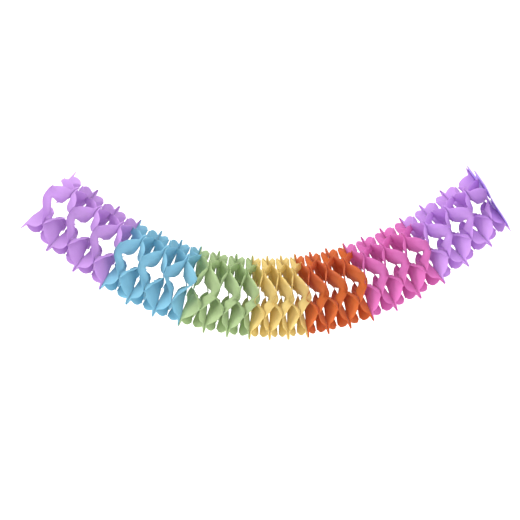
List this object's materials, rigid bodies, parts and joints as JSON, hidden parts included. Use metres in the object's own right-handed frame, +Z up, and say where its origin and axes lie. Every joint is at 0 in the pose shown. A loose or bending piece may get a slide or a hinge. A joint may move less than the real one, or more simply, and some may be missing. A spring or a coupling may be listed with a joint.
{
  "type": "paper garland",
  "caption": "Rainbow honeycomb tissue garland, die-cut sheets glued in turn into an open four-leaved tube, hanging in a shallow curve from a stiff end card.",
  "frame": {"origin": "on the outer face of the end card, on its first arm, where the card is held", "axes": "+Z up as the garland hangs; +X horizontal along the garland, from its free end towards its end card; +Y horizontal across it, from the side where the second leaf stands out to the other"},
  "size_m": [0.6851, 0.1182, 0.2468],
  "materials": {
    "card": "matte card",
    "tissue_violet": "matte translucent tissue",
    "tissue_blue": "matte translucent tissue",
    "tissue_green": "matte translucent tissue",
    "tissue_yellow": "matte translucent tissue",
    "tissue_orange": "matte translucent tissue",
    "tissue_pink": "matte translucent tissue",
    "tissue_lilac": "matte translucent tissue"
  },
  "bodies": {
    "root": {"end_card": "card", "sheet_01_violet": "tissue_violet", "sheet_02_violet": "tissue_violet", "sheet_03_violet": "tissue_violet", "sheet_04_violet": "tissue_violet", "sheet_05_violet": "tissue_violet", "sheet_06_violet": "tissue_violet", "sheet_07_blue": "tissue_blue", "sheet_08_blue": "tissue_blue", "sheet_09_blue": "tissue_blue", "sheet_10_blue": "tissue_blue", "sheet_11_blue": "tissue_blue", "sheet_12_blue": "tissue_blue", "sheet_13_green": "tissue_green", "sheet_14_green": "tissue_green", "sheet_15_green": "tissue_green", "sheet_16_green": "tissue_green", "sheet_17_green": "tissue_green", "sheet_18_green": "tissue_green", "sheet_19_yellow": "tissue_yellow", "sheet_20_yellow": "tissue_yellow", "sheet_21_yellow": "tissue_yellow", "sheet_22_yellow": "tissue_yellow", "sheet_23_yellow": "tissue_yellow", "sheet_24_yellow": "tissue_yellow", "sheet_25_orange": "tissue_orange", "sheet_26_orange": "tissue_orange", "sheet_27_orange": "tissue_orange", "sheet_28_orange": "tissue_orange", "sheet_29_orange": "tissue_orange", "sheet_30_orange": "tissue_orange", "sheet_31_pink": "tissue_pink", "sheet_32_pink": "tissue_pink", "sheet_33_pink": "tissue_pink", "sheet_34_pink": "tissue_pink", "sheet_35_pink": "tissue_pink", "sheet_36_pink": "tissue_pink", "sheet_37_lilac": "tissue_lilac", "sheet_38_lilac": "tissue_lilac", "sheet_39_lilac": "tissue_lilac", "sheet_40_lilac": "tissue_lilac", "sheet_41_lilac": "tissue_lilac", "sheet_42_lilac": "tissue_lilac"}
  },
  "joints": []
}
